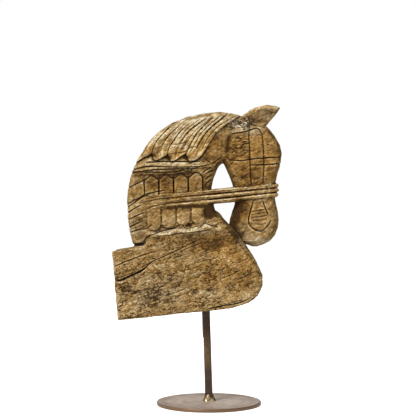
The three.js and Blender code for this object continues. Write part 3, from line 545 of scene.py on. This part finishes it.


# Tones of the wood: ellipses (x, z, half widths, change) and lines (half width, change, points); besides the
# wood's own tone, many of them are painted shade and painted highlights
tones = {
    "ground": 0.44,
    "mane": 0.15,
    # crest makes convex places paler, partly worn edges and partly a painted highlight; hollow darkens
    # hollows with painted shade
    "crest": 0.16,
    "hollow": 0.24,
    "block": -0.08,
    "chips": 0.6,
    # light rims beside the cut lines are painted highlights
    "rimHighlights": 0.15,
    "flat": (12, 0.05, 0.5),  # rounds of smoothing, and where a face turned to the side begins and is whole
    "fine": (4, 0.16, 0.2),  # rounds, and the heights in millimetres of a full crest and a full hollow
    "broad": (40, 1.0),
    "lineDirtAndShade": (1.1, 0.35, 0.95),  # depth that is full of dirt and painted shadow, what the locks keep off, and the most
    "crackDirt": (1.2, 0.1),
    "spots": [
        (-111, 226, 24, 4, 0.05), (58, 240, 24, 8, 0.08), (-119, 195, 14, 6, -0.13), (-130, 188, 5, 8, -0.15),
        # painted shadow under the ledge: this spot and the first two on the next line
        (-60, 235, 25, 7, -0.08),
        (14, 234, 28, 10, -0.44), (-15, 233, 14, 9, -0.2), (34, 215, 20, 14, 0.13), (51, 192, 16, 8, -0.16),
        (58, 179, 12, 6, -0.12), (0, 190, 10, 12, -0.13), (1, 168, 5, 2.6, -0.4), (-119, 171, 10, 3.5, -0.26),
        (-107, 164, 10, 3, -0.22), (-78, 167, 17, 7, -0.16), (-76, 156, 9, 3, -0.22), (-59, 152, 9, 4, -0.2),
        (-116, 142, 17, 12, 0.12), (-82, 186, 14, 8, 0.1), (-66, 198, 16, 7, 0.06), (37, 160, 26, 7, 0.1),
        (2, 402, 24, 9, 0.12), (21, 392, 14, 7, 0.12), (46, 401, 15, 8, 0.22), (60, 405, 6, 7, -0.3),
        (80, 412, 14, 6, 0.08), (62, 409, 7, 4, -0.16), (43, 370, 12, 7, -0.2), (27, 371, 4, 12, -0.2),
        (50, 327, 17, 9, -0.13),
        (88, 369, 9, 16, 0.06), (64, 389, 7, 5, 0.15), (69, 328, 7, 6, 0.08), (58, 205, 18, 20, 0.06),
        (60, 350, 40, 40, -0.05),
        (-50, 315, 42, 12, -0.14), (-87, 351, 14, 5, 0.1), (-45, 270, 40, 9, 0.1), (67, 236, 24, 6, 0.2),
        # the third spot on this line is painted shade in the crevice of the notch
        (50, 248, 6, 6, -0.15), (46, 271, 7, 14, -0.18), (-27, 260, 6, 2.4, -0.3), (-45, 270, 40, 14, -0.05),
        (12, 266, 10, 5, 0.06),
        # painted shadows under the lock tips: this line and the first spot on the next
        (-80, 358, 4.5, 2.6, -0.85), (-57.5, 354, 4.5, 3.6, -0.85), (-32, 355, 4.5, 3.4, -0.85),
        # after its first spot, this line and the next are painted shadows in the V's between the plaques
        (-5, 352, 6, 3, -0.35), (-91.5, 324, 2.8, 3, -0.5), (-70.8, 325.5, 2.8, 3, -0.5),
        (-50, 326.5, 2.8, 3, -0.5), (-29.3, 328, 2.8, 3, -0.5), (-8, 329, 3, 3, -0.5),
        # painted shade on the neck side between the tabs and the breast
        (2, 277, 11, 11, -0.72),
        (-45, 324, 50, 14, -0.08), (-20, 246, 60, 5, -0.12), (-60, 360, 14, 8, 0.04),
        (66, 326, 26, 10, -0.05), (45, 363, 16, 13, -0.04), (89, 269, 9, 18, 0.09), (38, 212, 26, 28, 0.04),
        (-26, 374, 14, 12, -0.05), (33, 408, 10, 6, 0.1), (41, 391, 9, 6, -0.1), (-130, 172, 9, 22, 0.12),
        (9, 174, 6, 7, -0.18), (-28, 283, 14, 5, -0.14), (57, 283, 6, 6, -0.12), (57, 252, 6, 7, -0.09),
        (-116, 281, 8, 10, -0.08), (-44, 221, 14, 6, -0.09), (33, 345, 10, 7, -0.08), (-84, 267, 8, 8, 0.08),
        (72, 268, 14, 12, 0.05), (-72, 378, 16, 14, 0.06), (-55, 346, 50, 4, 0.06), (80, 375, 14, 12, 0.03),
    ],
    "lines": [
        # painted highlight along the top of the ledge
        (2.6, 0.34, [(-91.8, 248.7), (-73.2, 246.3), (-56.9, 247.8), (-45.5, 251.9), (-29.5, 250.2),
                     (-17.1, 253.5), (-5, 259.1), (8.6, 254.3), (15.6, 250.5)]),
        # painted shade under the ledge
        (2.4, -0.26, [(-90, 243), (-72, 241), (-56, 242.5), (-44, 246.5), (-29, 245), (-16, 248), (-4, 253),
                      (8, 248.5)]),
        # painted highlights on the tops of the three rein strands, this line and the next two
        (1.2, 0.42, [(-92.5, 299), (-82, 301.4), (-53.5, 302.2), (-21, 305.4), (8.6, 308.6), (28.9, 310.2),
                    (61.4, 311.8), (77.6, 314.3), (96, 316.9)]),
        (1.1, 0.36, [(-53.5, 295.7), (-21, 299), (12.8, 300.5), (28.9, 302.2), (53.3, 304.6), (86, 307.7)]),
        (1.1, 0.45, [(-82, 281.9), (-62, 287.5), (-19.7, 290.3), (12.8, 294), (37.1, 296.4), (61.4, 299),
                    (85.7, 302.2)]),
        # painted highlight on the roll under the lock tips
        (2.2, 0.2, [(-90, 344.6), (-75, 346.9), (-52, 346), (-34, 344.6), (-18, 346), (-3, 347.6)]),
        # painted shade along the forehead's front edge
        (3.4, -0.24, [(84, 395), (93, 383), (99.5, 370.6), (101.7, 356.8), (100, 344.6), (97, 329),
                      (94, 318.5)]),
        # painted shade along the muzzle's front edge
        (2.4, -0.2, [(94.9, 289.5), (97.9, 278.8), (98.7, 266.5), (96.4, 254.3), (88.7, 243.6)]),
        # painted shade on the side of the jaw
        (7.0, -0.72, [(46, 291), (40, 277), (36, 265), (37, 255), (42, 245)]),
        # painted shade along the neck's front edge by the throat gap, this line and the next
        (6.0, -0.36, [(4.6, 288), (9.2, 280.3), (16.8, 271), (26, 262)]),
        (6.0, -0.26, [(12, 346), (3, 335), (-2, 323), (-3, 311)]),
        *[(1.8, -0.2, strap) for strap in faceStraps],
        # painted shadow along the eye's left edge
        (3.0, -0.22, [(31, 386), (26, 372), (26, 356), (30, 350)]),
        # painted shade along the jaw's left edge
        (3.6, -0.22, [(21.4, 350.7), (27.5, 338.4), (33.6, 324.7), (36.7, 315.5)]),
        # painted shade between the strap and the plaque tips
        (2.8, -0.3, [(-105.6, 332.3), (-87.3, 330), (-72, 328.5), (-52, 329.3), (-33.7, 332.3), (-18, 334)]),
        # painted shade under the lowest rein strand
        (3.0, -0.22, [(-72, 282.6), (-52, 283.3), (-33.7, 284.9), (-18.4, 286.4), (-3, 286.4)]),
        # painted shade just inside the breast's edge
        (1.5, -0.28, [(23.2, 255.9), (35.4, 242.2), (46.2, 228.4), (56.9, 214.6), (66, 200.8), (72, 187)]),
        # painted shade along the bottom edge
        (2.0, -0.16, [(-126.8, 126), (-100.8, 130), (-70, 133.5), (-39.6, 136.6), (-9, 138)]),
        # painted highlight along the ear's upper rim
        (2.2, 0.3, [(47.4, 413.4), (61.2, 422.6), (78, 427), (94.9, 426)]),
        # painted highlight on the block's left edge
        (2.0, 0.12, [(-134, 222), (-131, 180), (-127, 128)]),
        # painted shade inside the ear, this line and the next
        (2.2, -0.3, [(56, 402), (68, 409), (82, 416), (97, 421)]),
        (1.4, -0.24, [(64, 403), (78, 409), (90, 414)]),
        # painted shade band on the cheek
        (1.4, -0.22, [(34, 328.5), (46, 327), (56, 326.5)]),
        # painted shade beside the parting
        (3.4, -0.2, [(49, 408), (30, 397), (15, 385), (4, 370), (-4, 357)]),
    ],
    "warm": [
        (62, 355, 44, 46, 1.0), (5, 370, 24, 18, 0.8), (-50, 315, 48, 13, 0.6), (28, 205, 50, 42, 0.7),
        (-40, 362, 46, 10, 0.6), (60, 268, 30, 26, 0.7), (-20, 298, 90, 8, 0.3), (-100, 215, 36, 14, 0.3),
        (16, 232, 30, 11, 0.5),
    ],
    "smooth": [(50, 202, 24, 36, 0.6)],
    "grey": [
        (45, 401, 16, 9, 0.7), (80, 415, 22, 14, 0.4), (-20, 407, 62, 12, 0.35), (66, 236, 28, 7, 0.5),
        (50, 248, 8, 8, 0.6), (-85, 160, 48, 22, 0.25), (-105, 262, 14, 30, 0.2), (-40, 250, 54, 5, 0.5),
        (62, 390, 10, 6, 0.5), (-30, 170, 60, 30, 0.12), (20, 296, 90, 4, 0.2),
    ],
}


def spotField(x, z, spots, falloff=1.3):
    # sum of soft ellipses
    field = np.zeros(len(x))
    for px, pz, rx, rz, change in spots:
        field += change * np.exp(-(((x - px) / rx) ** 2 + ((z - pz) / rz) ** 2) ** falloff)
    return field


def standOut(mesh, places, normals, rounds):
    # how far each place stands out from the mean of its neighbourhood
    return np.sum((places - neighbourMean(mesh, places, rounds)) * normals, axis=1)


def paintHorse(piece):
    # values that the wood's material reads: its tone, which holds painted shade and highlights, its warmth
    # and greyness, dirt with painted shadow under the lock tips, and the block's share
    mesh = piece.data
    places = readVectors(mesh.vertices, "co") / mm
    normals = readVectors(mesh.vertex_normals, "vector")
    x, y, z = places.T
    rounds, begins, whole = tones["flat"]
    flat = smoothStep(begins, whole, np.abs(neighbourMean(mesh, normals, rounds)[:, 1]))
    rounds, crest, hollow = tones["fine"]
    fine = standOut(mesh, places, normals, rounds)
    rounds, dip = tones["broad"]
    broad = standOut(mesh, places, normals, rounds)
    _, lines, cracked, rimHighlights = carvedDepth(x, y, z)
    lock = lockMask(x, z)
    block = blockMask(x, z)
    hair = hairPlace(x, z)
    strand = hairNoise("strand", y, *hair) + hairNoise("fine", y, *hair)
    shadeHighlightAndToneBands = sum(change * nearLine(x, z, points, width) for width, change, points in tones["lines"])
    # the spots and bands hold painted shade and painted highlights besides the wood's own tone
    tone = tones["ground"] + flat * (spotField(x, z, tones["spots"]) + shadeHighlightAndToneBands + tones["rimHighlights"] * rimHighlights)
    tone += lock * (tones["mane"] + strand) + tones["block"] * block
    # paler on crests, partly worn edges and partly painted highlight; darker in fine and broad hollows,
    # painted shade
    tone += tones["crest"] * np.clip(fine / crest, -1, 1) - tones["chips"] * chipField(x, y, z) * nearSide(y)
    tone -= tones["hollow"] * (np.clip(-fine / hollow, 0, 1) + np.clip(-broad / dip, 0, 1))
    # dirt in the cut lines and cracks, and painted shadow in the recess under the lock tips
    depth, kept, most = tones["lineDirtAndShade"]
    lineDirtAndShade = np.clip(lines * (1 - kept * lock) / depth, 0, most)
    depth, clean = tones["crackDirt"]
    values = {
        "tone": tone,
        "dirtAndShade": lineDirtAndShade + np.clip(cracked / depth - clean, 0, 1),
        "warm": np.clip(spotField(x, z, tones["warm"]), 0, 1),
        "grey": np.clip(spotField(x, z, tones["grey"]), 0, 1),
        "block": block * (1 - spotField(x, z, tones["smooth"])),
    }
    for name, value in values.items():
        attribute = mesh.attributes.new(name, "FLOAT", "POINT")
        attribute.data.foreach_set("value", value.astype(np.float32))


def addNode(tree, kind, inputs=(), **settings):
    node = tree.nodes.new(kind)
    for key, value in settings.items():
        setattr(node, key, value)
    for key, value in dict(inputs).items():
        if isinstance(value, bpy.types.NodeSocket):
            tree.links.new(value, node.inputs[key])
        else:
            node.inputs[key].default_value = value
    return node


def mathNode(tree, operation, a, b, third=0.0):
    return addNode(tree, "ShaderNodeMath", {0: a, 1: b, 2: third}, operation=operation).outputs[0]


def mixColour(tree, share, a, b, blend="MIX"):
    inputs = {0: share, 6: a, 7: b}
    return addNode(tree, "ShaderNodeMix", inputs, data_type="RGBA", blend_type=blend).outputs[2]


def ramp(tree, value, stops):
    node = addNode(tree, "ShaderNodeValToRGB", {0: value})
    elements = node.color_ramp.elements
    for i, (place, colour) in enumerate(stops):
        element = elements[i] if i < 2 else elements.new(place)
        element.position = place
        element.color = (*colour, 1)
    return node.outputs[0]


def level(tree, value, low, high, toLow=0.0, toHigh=1.0):
    # a value that runs from low to high, spread from toLow to toHigh
    inputs = {"Value": value, "From Min": low, "From Max": high, "To Min": toLow, "To Max": toHigh}
    return addNode(tree, "ShaderNodeMapRange", inputs).outputs[0]


def noise(tree, place, scale, detail, roughness=0.5, distortion=0.0):
    inputs = {"Vector": place, "Scale": scale, "Detail": detail, "Roughness": roughness,
              "Distortion": distortion}
    return addNode(tree, "ShaderNodeTexNoise", inputs).outputs[0]


grainNoises = {
    "distortion": 0.8,
    "recipes": {  # stretch along, through and across the grain, detail and roughness
        "Streak": ((30, 90, 280), 5, 0.62),
        "Fleck": ((210, 260, 460), 3, 0.65),
        "Mottle": ((170, 220, 330), 3, 0.6),
        "Patch": ((75, 90, 120), 2, 0.5),
        "Cloud": ((26, 40, 60), 3, 0.55),
        "Hue": ((60, 70, 95), 3, 0.6),
    },
    "curl": {"stretch": (150, 190, 290), "detail": 1.5, "roughness": 0.5, "distortion": 1.2, "width": 0.07},
}


def buildGrainGroup():
    # streaks along the plank, flecks, mottling, clouds and thin curls, from a place on the object
    tree = bpy.data.node_groups.new("woodFigure", "ShaderNodeTree")
    tree.interface.new_socket("Vector", in_out="INPUT", socket_type="NodeSocketVector")
    for name in (*grainNoises["recipes"], "Curl"):
        tree.interface.new_socket(name, in_out="OUTPUT", socket_type="NodeSocketFloat")
    start = tree.nodes.new("NodeGroupInput")
    end = tree.nodes.new("NodeGroupOutput")
    turn = {"Vector": start.outputs[0], "Rotation": (0, grainTilt, 0)}
    turned = addNode(tree, "ShaderNodeMapping", turn).outputs[0]
    for name, (stretch, detail, roughness) in grainNoises["recipes"].items():
        place = addNode(tree, "ShaderNodeMapping", {"Vector": turned, "Scale": stretch}).outputs[0]
        tree.links.new(noise(tree, place, 1, detail, roughness, grainNoises["distortion"]), end.inputs[name])
    curl = grainNoises["curl"]
    place = addNode(tree, "ShaderNodeMapping", {"Vector": turned, "Scale": curl["stretch"]}).outputs[0]
    curly = noise(tree, place, 1, curl["detail"], curl["roughness"], curl["distortion"])
    wave = mathNode(tree, "SUBTRACT", curly, 0.5)
    tree.links.new(level(tree, mathNode(tree, "ABSOLUTE", wave, 0.0), 0, curl["width"]), end.inputs["Curl"])
    return tree


def newMaterial(name):
    material = bpy.data.materials.new(name)
    material.use_nodes = True
    shader = material.node_tree.nodes["Principled BSDF"]
    place = material.node_tree.nodes.new("ShaderNodeTexCoord").outputs["Object"]
    return material, material.node_tree, shader, place


def group(tree, shared, place):
    node = tree.nodes.new("ShaderNodeGroup")
    node.node_tree = shared
    tree.links.new(place, node.inputs[0])
    return node


wood = {
    "tones": [
        (0.0, (0.045, 0.022, 0.006)), (0.15, (0.1, 0.052, 0.014)), (0.35, (0.185, 0.106, 0.031)),
        (0.52, (0.27, 0.165, 0.058)), (0.7, (0.375, 0.243, 0.096)), (0.85, (0.5, 0.36, 0.18)),
        (1.0, (0.7, 0.57, 0.36)),
    ],
    "warmCast": (1.0, 0.86, 0.58, 1),
    # the dark colour of dirt and of the painted shadow under the lock tips
    "dirtAndShade": (0.022, 0.013, 0.006, 1),
    "figure": {  # strength on the head and neck, and on the block
        "Streak": (0.5, 0.5), "Fleck": (1.0, 0.9), "Mottle": (1.1, 0.95), "Patch": (0.8, 0.35),
        "Cloud": (0.6, 0.45), "Curl": (0.16, 0.56),
    },
    "hueSwing": (2.4, -1.3),  # how far the hue noise moves the warmth and the greyness
    "bleach": {"Hue": 0.512, "Saturation": 0.66},
    "specular": 0.12,
    "roughness": (0.2, 0.9, 0.9, 0.72),  # the darkest and the lightest tone, and the roughness of each
    "bump": {"Strength": 0.8, "Distance": 1.2 * mm},
    "bumpMottle": 0.7,
}


def buildWood(figure):
    material, tree, shader, place = newMaterial("weatheredCarvedWood")
    grain = group(tree, figure, place)
    read = {name: addNode(tree, "ShaderNodeAttribute", attribute_name=name).outputs["Fac"]
            for name in ("tone", "dirtAndShade", "warm", "grey", "block")}
    tone = read["tone"]
    for name, (onHead, onBlock) in wood["figure"].items():
        strength = level(tree, read["block"], 0, 1, onHead, onBlock)
        change = mathNode(tree, "SUBTRACT", grain.outputs[name], 0.5)
        tone = mathNode(tree, "MULTIPLY_ADD", change, strength, third=tone)
    base = ramp(tree, tone, wood["tones"])
    hue = mathNode(tree, "SUBTRACT", grain.outputs["Hue"], 0.5)
    warmth, greyness = (
        level(tree, mathNode(tree, "MULTIPLY_ADD", hue, swing, third=read[name]), 0, 1)
        for name, swing in zip(("warm", "grey"), wood["hueSwing"]))
    base = mixColour(tree, warmth, base, wood["warmCast"], "MULTIPLY")
    bleached = addNode(tree, "ShaderNodeHueSaturation", {"Color": base, **wood["bleach"]}).outputs[0]
    base = mixColour(tree, greyness, base, bleached)
    base = mixColour(tree, mathNode(tree, "MINIMUM", read["dirtAndShade"], 1.0), base, wood["dirtAndShade"])
    tree.links.new(base, shader.inputs["Base Color"])
    tree.links.new(level(tree, tone, *wood["roughness"]), shader.inputs["Roughness"])
    shader.inputs["Specular IOR Level"].default_value = wood["specular"]
    mottle = mathNode(tree, "MULTIPLY", grain.outputs["Mottle"], wood["bumpMottle"])
    height = mathNode(tree, "ADD", grain.outputs["Streak"], mottle)
    bump = addNode(tree, "ShaderNodeBump", {"Height": height, **wood["bump"]})
    tree.links.new(bump.outputs[0], shader.inputs["Normal"])
    return material


# What the steels share: the detail and roughness of both noises, and where flecks rust and roughen
steel = {
    "cloud": (5, 0.65), "cloudTones": (0.35, 0.65),
    "fleck": (3, 0.7), "finer": 7, "rusty": (0.55, 0.72, 0.0, 0.7), "roughened": (0.3, 0.7),
    "roughSwing": (-0.1, 0.12), "bump": {"Strength": 0.25, "Distance": 0.3 * mm},
}


def buildSteel(name, looks, wearAndGlints):
    # patinated steel: clouds of tone, rusty flecks, a worn colour that on the weld is painted glints, and a
    # fine satin bump
    material, tree, shader, place = newMaterial(name)
    spots = looks["spots"]
    cloud = noise(tree, place, spots, *steel["cloud"])
    fleck = noise(tree, place, spots * steel["finer"], *steel["fleck"])
    base = ramp(tree, cloud, zip(steel["cloudTones"], (looks["dark"], looks["light"])))
    base = mixColour(tree, level(tree, fleck, *steel["rusty"]), base, (*looks["rust"], 1))
    base = mixColour(tree, wearAndGlints(tree, place), base, (*looks["wornAndGlint"], 1))
    tree.links.new(base, shader.inputs["Base Color"])
    shader.inputs["Metallic"].default_value = looks["metallic"]
    rough = [looks["rough"] + change for change in steel["roughSwing"]]
    tree.links.new(level(tree, fleck, *steel["roughened"], *rough), shader.inputs["Roughness"])
    bump = addNode(tree, "ShaderNodeBump", {"Height": fleck, **steel["bump"]})
    tree.links.new(bump.outputs[0], shader.inputs["Normal"])
    return material


def selectWhere(piece, items, choose):
    # selects the faces or vertices that the test picks, and goes to edit mode
    bpy.ops.object.mode_set(mode="OBJECT")
    mesh = piece.data
    for every in (mesh.vertices, mesh.edges, mesh.polygons):
        every.foreach_set("select", [False] * len(every))
    for item in getattr(mesh, items):
        item.select = choose(item)
    bpy.ops.object.mode_set(mode="EDIT")
    bpy.ops.mesh.select_mode(type="FACE" if items == "polygons" else "VERT")


def cutRings(heights):
    # level rings of edges all round the piece in edit mode
    for height in heights:
        bpy.ops.mesh.select_all(action="SELECT")
        bpy.ops.mesh.bisect(plane_co=(0, 0, height), plane_no=(0, 0, 1))


def applyBevel(piece, width, segments, angle=40):
    bevel = piece.modifiers.new("roundedEdges", "BEVEL")
    bevel.width = width
    bevel.segments = segments
    bevel.limit_method = "ANGLE"
    bevel.angle_limit = math.radians(angle)
    bpy.ops.object.modifier_apply(modifier="roundedEdges")


def finishPiece(piece, name, angle):
    bpy.ops.object.mode_set(mode="OBJECT")
    piece.name = name
    bpy.ops.object.transform_apply(location=True, rotation=True, scale=True)
    bpy.ops.object.shade_smooth_by_angle(angle=math.radians(angle))
    return piece


disc = {
    "radius": 75 * mm, "thickness": 5 * mm, "edge": 0.9 * mm, "edgeSteps": 3, "sides": 160, "smoothUnder": 30,
    "insets": (4 * mm, 22 * mm, 24 * mm),
    "turning": {"Scale": 22, "Distortion": 2, "Detail": 3}, "turned": 0.18,
    "border": (45 * mm, 73 * mm, 0, 0.35), "rim": (73.5 * mm, 74.5 * mm, 0, 0.6),  # radii, and wear at each
    "looks": {"dark": (0.56, 0.44, 0.35), "light": (0.78, 0.66, 0.56), "rust": (0.34, 0.22, 0.13),
              "wornAndGlint": (0.2, 0.12, 0.065), "metallic": 0.5, "rough": 0.42, "spots": 45},
}


def modelDisc():
    bpy.ops.object.select_all(action="DESELECT")
    bpy.ops.mesh.primitive_cylinder_add(
        vertices=disc["sides"], radius=disc["radius"], depth=disc["thickness"],
        location=(0, 0, disc["thickness"] / 2))
    piece = bpy.context.active_object
    applyBevel(piece, disc["edge"], disc["edgeSteps"])
    selectWhere(piece, "polygons", lambda face: abs(face.normal.z) > 0.99)
    for width in disc["insets"]:  # rings that keep the flat faces in even, small faces
        bpy.ops.mesh.inset(thickness=width, depth=0)
    return finishPiece(piece, "steelDisc", disc["smoothUnder"])


def discWear(tree, place):
    # faint turning rings, and a browner border
    flat = addNode(tree, "ShaderNodeVectorMath", {0: place, 1: (1, 1, 0)}, operation="MULTIPLY").outputs[0]
    radius = addNode(tree, "ShaderNodeVectorMath", {0: flat}, operation="LENGTH").outputs["Value"]
    rings = addNode(tree, "ShaderNodeTexWave", {"Vector": flat, **disc["turning"]},
                    wave_type="RINGS", rings_direction="Z").outputs["Fac"]
    border = mathNode(tree, "ADD", level(tree, radius, *disc["border"]), level(tree, radius, *disc["rim"]))
    return mathNode(tree, "MULTIPLY_ADD", rings, disc["turned"], third=border)


bar = {
    "half": 5.4 * mm, "footX": 0.2 * mm, "topX": -3.9 * mm, "topGap": 0.6 * mm,
    "edge": 1.4 * mm, "edgeSteps": 4, "rings": 40, "smoothUnder": 50,
    "dents": (0.22, (9, 9, 14), 11),  # depth and size in millimetres, and seed
    "stripFrom": 98 * mm, "stripThickness": 1 * mm, "stripSlope": 1.5 * mm,
    "collar": 2 * mm, "collarHeight": 3 * mm,
    "rubbed": ((50 * mm, 75 * mm), (108 * mm, 80 * mm)), "rubbedSpots": (100, 0.3, 0.72),
    "lean": 0.031, "stripFace": (-4.2 * mm, -5.6 * mm), "stripWear": (94 * mm, 102 * mm),
    "looks": {"dark": (0.03, 0.016, 0.007), "light": (0.07, 0.041, 0.02), "rust": (0.13, 0.06, 0.022),
              "wornAndGlint": (0.19, 0.11, 0.045), "metallic": 0.35, "rough": 0.52, "spots": 90},
}


def barMiddle(z, top):
    share = (z - disc["thickness"]) / (top - disc["thickness"])
    return bar["footX"] + (bar["topX"] - bar["footX"]) * share


def modelBar():
    low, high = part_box("stem")
    top = high.z - bar["topGap"]
    height = top - low.z
    bpy.ops.object.select_all(action="DESELECT")
    bpy.ops.mesh.primitive_cube_add(size=2 * bar["half"], location=(0, 0, 0))
    piece = bpy.context.active_object
    bpy.ops.object.mode_set(mode="EDIT")
    bpy.ops.mesh.select_all(action="SELECT")
    bpy.ops.transform.resize(value=(1, 1, height / (2 * bar["half"])))
    bpy.ops.transform.translate(value=(0, 0, (top + low.z) / 2))
    cutRings((bar["stripFrom"] - bar["stripSlope"], bar["stripFrom"], top - bar["collarHeight"]))
    selectWhere(piece, "vertices", lambda v: v.co.x < 0 and v.co.z > bar["stripFrom"] - 0.5 * mm)
    bpy.ops.transform.translate(value=(-bar["stripThickness"], 0, 0))
    selectWhere(piece, "vertices", lambda v: v.co.z > top - mm)
    grow = 1 + bar["collar"] / bar["half"]
    bpy.ops.transform.resize(value=(grow, grow, 1), center_override=(0, 0, top))
    bpy.ops.object.mode_set(mode="OBJECT")
    applyBevel(piece, bar["edge"], bar["edgeSteps"])
    bpy.ops.object.mode_set(mode="EDIT")
    cutRings(low.z + height * step / bar["rings"] for step in range(1, bar["rings"]))
    bpy.ops.object.mode_set(mode="OBJECT")
    mesh = piece.data
    places = readVectors(mesh.vertices, "co")
    depth, size, seed = bar["dents"]
    dent = depth * latticeNoise(*(places / mm).T, size, seed) * mm
    places[:, :2] += np.sign(places[:, :2]) * dent[:, None]
    places[:, 0] += barMiddle(places[:, 2], top)
    mesh.vertices.foreach_set("co", places.ravel())
    mesh.update()
    return finishPiece(piece, "steelBar", bar["smoothUnder"])


def barWear(tree, place):
    # brassy rubbed patches half way down the bar, and the worn edge of its strip
    split = addNode(tree, "ShaderNodeSeparateXYZ", {0: place})
    height = split.outputs["Z"]
    scale, low, high = bar["rubbedSpots"]
    patch = level(tree, noise(tree, place, scale, 5), low, high)
    rises, falls = bar["rubbed"]
    rubbed = mathNode(tree, "MULTIPLY", level(tree, height, *rises), level(tree, height, *falls))
    side = mathNode(tree, "MULTIPLY_ADD", height, bar["lean"], third=split.outputs["X"])
    strip = mathNode(
        tree, "MULTIPLY", level(tree, side, *bar["stripFace"]), level(tree, height, *bar["stripWear"]))
    return mathNode(tree, "MULTIPLY_ADD", rubbed, patch, third=strip)


weld = {
    "radius": 9.8 * mm, "height": 10 * mm, "sides": 64, "rings": 12, "smoothUnder": 60,
    "profile": [(0, 1.0), (0.12, 0.97), (0.35, 0.87), (0.7, 0.7), (1, 0.58)],  # height and radius, as shares
    "fullness": 0.95, "swell": (0.05, 3), "beads": (0.06, 8, 9),  # depth, number round the foot, and slant
    "glintHeights": (13 * mm, 7 * mm), "glintSpots": (300, 0.45, 0.6),
    # the weld's light worn colour is painted glint
    "looks": {"dark": (0.1, 0.066, 0.03), "light": (0.26, 0.18, 0.09), "rust": (0.08, 0.05, 0.02),
              "wornAndGlint": (0.75, 0.62, 0.36), "metallic": 0.7, "rough": 0.42, "spots": 160},
}


def modelWeld():
    low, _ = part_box("weld_fillet")
    bpy.ops.object.select_all(action="DESELECT")
    bpy.ops.mesh.primitive_cylinder_add(
        vertices=weld["sides"], radius=weld["radius"], depth=weld["height"],
        location=(bar["footX"], 0, low.z + weld["height"] / 2))
    piece = bpy.context.active_object
    bpy.ops.object.transform_apply(location=True)
    bpy.ops.object.mode_set(mode="EDIT")
    cutRings(low.z + weld["height"] * step / weld["rings"] for step in range(1, weld["rings"]))
    bpy.ops.object.mode_set(mode="OBJECT")
    mesh = piece.data
    places = readVectors(mesh.vertices, "co")
    middle = np.array([bar["footX"], 0.0])
    share = (places[:, 2] - low.z) / weld["height"]
    angle = np.arctan2(places[:, 1], places[:, 0] - middle[0])
    narrow = np.interp(share, *np.transpose(weld["profile"]))
    swell, waves = weld["swell"]
    depth, beads, slant = weld["beads"]
    lumps = swell * np.sin(waves * angle + 1) + depth * np.sin(beads * angle + slant * share) * (1 - share)
    size = narrow * (weld["fullness"] + lumps)
    places[:, :2] = middle + (places[:, :2] - middle) * size[:, None]
    mesh.vertices.foreach_set("co", places.ravel())
    mesh.update()
    return finishPiece(piece, "weldBead", weld["smoothUnder"])


def weldGlints(tree, place):
    # brassy glints low on the bead
    height = addNode(tree, "ShaderNodeSeparateXYZ", {0: place}).outputs["Z"]
    scale, low, high = weld["glintSpots"]
    patch = level(tree, noise(tree, place, scale, 1), low, high)
    return mathNode(tree, "MULTIPLY", level(tree, height, *weld["glintHeights"]), patch)


studio = {
    "cameraPlace": (-0.0013, -1.75, 0.283), "lens": 105, "sensor": 36,
    "surround": 0.3, "floorGlow": 0.7, "floorColour": (0.9, 0.9, 0.89, 1), "floorRadius": 3.2,
    "softboxes": {
        "keyLight": ((-0.75, -1.0, 1.05), 3.0, 24), "fillLight": ((-1.0, -0.9, 0.1), 0.6, 120),
        "backLight": ((0.5, 1.0, 0.5), 1.2, 60),
    },
}


def addSoftbox(name, direction, strength, spread):
    data = bpy.data.lights.new(name, "SUN")
    data.energy = strength
    data.angle = math.radians(spread)
    light = bpy.data.objects.new(name, data)
    light.location = direction
    light.rotation_euler = (-Vector(direction)).to_track_quat("-Z", "Y").to_euler()
    light.visible_glossy = direction[1] < 0  # the light behind leaves no glare on the disc
    bpy.context.scene.collection.objects.link(light)


def forCamera(tree, elsewhere, seen):
    # one strength for what the camera sees directly and another for the light it gives
    ray = addNode(tree, "ShaderNodeLightPath").outputs["Is Camera Ray"]
    return level(tree, ray, 0, 1, elsewhere, seen)


def buildStudio():
    scene = bpy.context.scene
    camera = bpy.data.cameras.new("camera")
    camera.lens = studio["lens"]
    camera.sensor_width = studio["sensor"]
    view = bpy.data.objects.new("camera", camera)
    view.location = studio["cameraPlace"]
    view.rotation_euler = (math.radians(90), 0, 0)
    scene.collection.objects.link(view)
    scene.camera = view
    scene.view_settings.view_transform = "Standard"
    world = bpy.data.worlds.new("studioWhite")
    scene.world = world
    world.use_nodes = True
    tree = world.node_tree
    back = tree.nodes["Background"]
    back.inputs["Color"].default_value = (1, 1, 1, 1)
    tree.links.new(forCamera(tree, studio["surround"], 1.0), back.inputs["Strength"])
    for name, setting in studio["softboxes"].items():
        addSoftbox(name, *setting)
    bpy.ops.object.select_all(action="DESELECT")
    bpy.ops.mesh.primitive_circle_add(
        vertices=96, radius=studio["floorRadius"], fill_type="NGON", location=(0, 0, 0))
    floor = bpy.context.active_object
    floor.name = "floor"
    material, tree, shader, _ = newMaterial("paleFloor")
    shader.inputs["Base Color"].default_value = studio["floorColour"]
    shader.inputs["Roughness"].default_value = 0.45
    shader.inputs["Emission Color"].default_value = (1, 1, 1, 1)
    tree.links.new(forCamera(tree, 0, studio["floorGlow"]), shader.inputs["Emission Strength"])
    floor.data.materials.append(material)


buildStudio()
print("studio ready")

figure = buildGrainGroup()
carvedHorse = carveHorse()
carvedHorse.data.materials.clear()
carvedHorse.data.materials.append(buildWood(figure))
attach(carvedHorse, "root")
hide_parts("horse_head")
print("horse ready")

steelPieces = (
    (modelDisc, "base_disc", "disc_steel", "patinatedDisc", disc["looks"], discWear),
    (modelBar, "stem", "dark_steel", "waxedBar", bar["looks"], barWear),
    (modelWeld, "weld_fillet", "weld_metal", "brassyWeld", weld["looks"], weldGlints),
)
for model, node, slot, finish, looks, wearAndGlints in steelPieces:
    piece = model()
    piece.data.materials.clear()
    piece.data.materials.append(buildSteel(finish, looks, wearAndGlints))
    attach(piece, "root")
    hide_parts(node)
print("stand ready")
